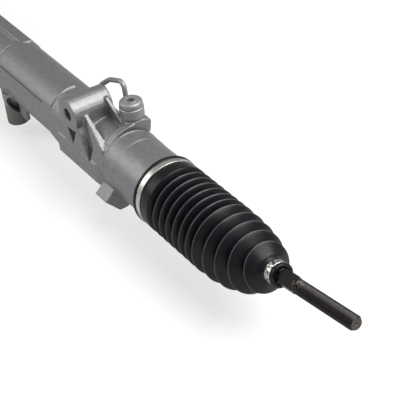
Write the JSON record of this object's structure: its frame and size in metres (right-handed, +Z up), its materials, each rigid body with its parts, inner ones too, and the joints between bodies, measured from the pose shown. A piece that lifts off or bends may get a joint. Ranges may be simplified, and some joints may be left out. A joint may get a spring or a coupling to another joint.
{
  "type": "rack and pinion steering gear",
  "caption": "Power-assisted rack and pinion steering gear with a cast housing, bellows, tie rods, rotary valve and cross-bored mounting bosses.",
  "frame": {"origin": "centre of the right-hand mounting bore, halfway through its boss", "axes": "+X along the rack toward the tie rod that the picture shows, +Y along the mounting bolts to the far side, +Z up"},
  "size_m": [1.361, 0.1504, 0.217],
  "materials": {
    "cast_aluminium": "sand-cast, shot-blasted satin",
    "machined_steel": "ground",
    "phosphated_steel": "dark phosphate, dry",
    "plated_steel": "zinc plated, satin",
    "stainless_band": "bright stainless strip",
    "copper": "annealed copper",
    "bronze_bush": "sintered bronze",
    "bellows_rubber": "smooth satin black",
    "seal_rubber": "matte black",
    "bearing_plastic": "natural acetal"
  },
  "bodies": {
    "housing": {"rack_housing": "cast_aluminium", "cylinder_tube": "machined_steel", "end_gland": "cast_aluminium", "end_seal": "seal_rubber", "gland_snap_ring": "machined_steel", "inner_gland": "cast_aluminium", "inner_seal": "seal_rubber", "lower_bearing_outer_ring": "machined_steel", "upper_bush": "bronze_bush", "bottom_cap": "plated_steel", "valve_housing": "cast_aluminium", "valve_bolts": "plated_steel", "upper_bearing_outer_ring": "machined_steel", "input_seal": "seal_rubber", "dust_cover": "seal_rubber", "yoke": "cast_aluminium", "yoke_liner": "bearing_plastic", "yoke_springs": "machined_steel", "yoke_plug": "plated_steel", "yoke_lock_nut": "plated_steel", "right_banjo_eye": "plated_steel", "left_banjo_eye": "plated_steel", "banjo_bolts": "plated_steel", "copper_washers": "copper", "right_line_pipe": "plated_steel", "left_line_pipe": "plated_steel", "flare_nuts": "plated_steel", "right_bellows": "bellows_rubber", "right_large_band": "stainless_band", "left_bellows": "bellows_rubber", "left_large_band": "stainless_band"},
    "rack": {"rack_bar": "machined_steel", "rack_piston": "machined_steel", "piston_ring": "bearing_plastic", "piston_snap_rings": "machined_steel", "right_ball_socket": "machined_steel", "left_ball_socket": "machined_steel"},
    "pinion": {"pinion_shaft": "machined_steel", "lower_bearing_inner_ring": "machined_steel", "pinion_nut": "plated_steel", "torsion_bar": "machined_steel", "valve_sleeve": "machined_steel", "sleeve_rings": "bearing_plastic"},
    "input": {"input_shaft": "machined_steel", "upper_bearing_inner_ring": "machined_steel"},
    "right_seat": {"right_ball_seat": "bearing_plastic"},
    "right_rod": {"right_tie_rod": "phosphated_steel", "right_small_band": "stainless_band"},
    "left_seat": {"left_ball_seat": "bearing_plastic"},
    "left_rod": {"left_tie_rod": "phosphated_steel", "left_small_band": "stainless_band"}
  },
  "joints": [
    {"name": "rack_slide", "type": "slide", "parent": "housing", "child": "rack", "axis": [1, 0, 0], "range_m": [-0.07, 0.07], "deforming": ["right_bellows", "left_bellows"]},
    {"name": "pinion_spin", "type": "hinge", "parent": "housing", "child": "pinion", "pos_m": [-0.4435, 0.0289, -0.046], "axis": [0, 0, 1], "range_deg": [-555, 555]},
    {"name": "valve_twist", "type": "hinge", "parent": "pinion", "child": "input", "pos_m": [-0.4435, 0.0289, -0.046], "axis": [0, 0, 1], "range_deg": [-4, 4], "stiffness_Nm_per_rad": 57},
    {"name": "right_swing", "type": "hinge", "parent": "rack", "child": "right_seat", "pos_m": [0.2465, 0.0125, -0.046], "axis": [0, -1, 0], "range_deg": [-28.5, 11.5]},
    {"name": "right_sweep", "type": "hinge", "parent": "right_seat", "child": "right_rod", "pos_m": [0.2465, 0.0125, -0.046], "axis": [0, 0, 1], "range_deg": [-10, 10]},
    {"name": "left_swing", "type": "hinge", "parent": "rack", "child": "left_seat", "pos_m": [-0.6635, 0.0125, -0.046], "axis": [0, 1, 0], "range_deg": [-28.5, 11.5]},
    {"name": "left_sweep", "type": "hinge", "parent": "left_seat", "child": "left_rod", "pos_m": [-0.6635, 0.0125, -0.046], "axis": [0, 0, 1], "range_deg": [-10, 10]}
  ],
  "couplings": [
    {"joint": "pinion_spin", "follows": "rack_slide", "rad_per_m": 137.99}
  ]
}
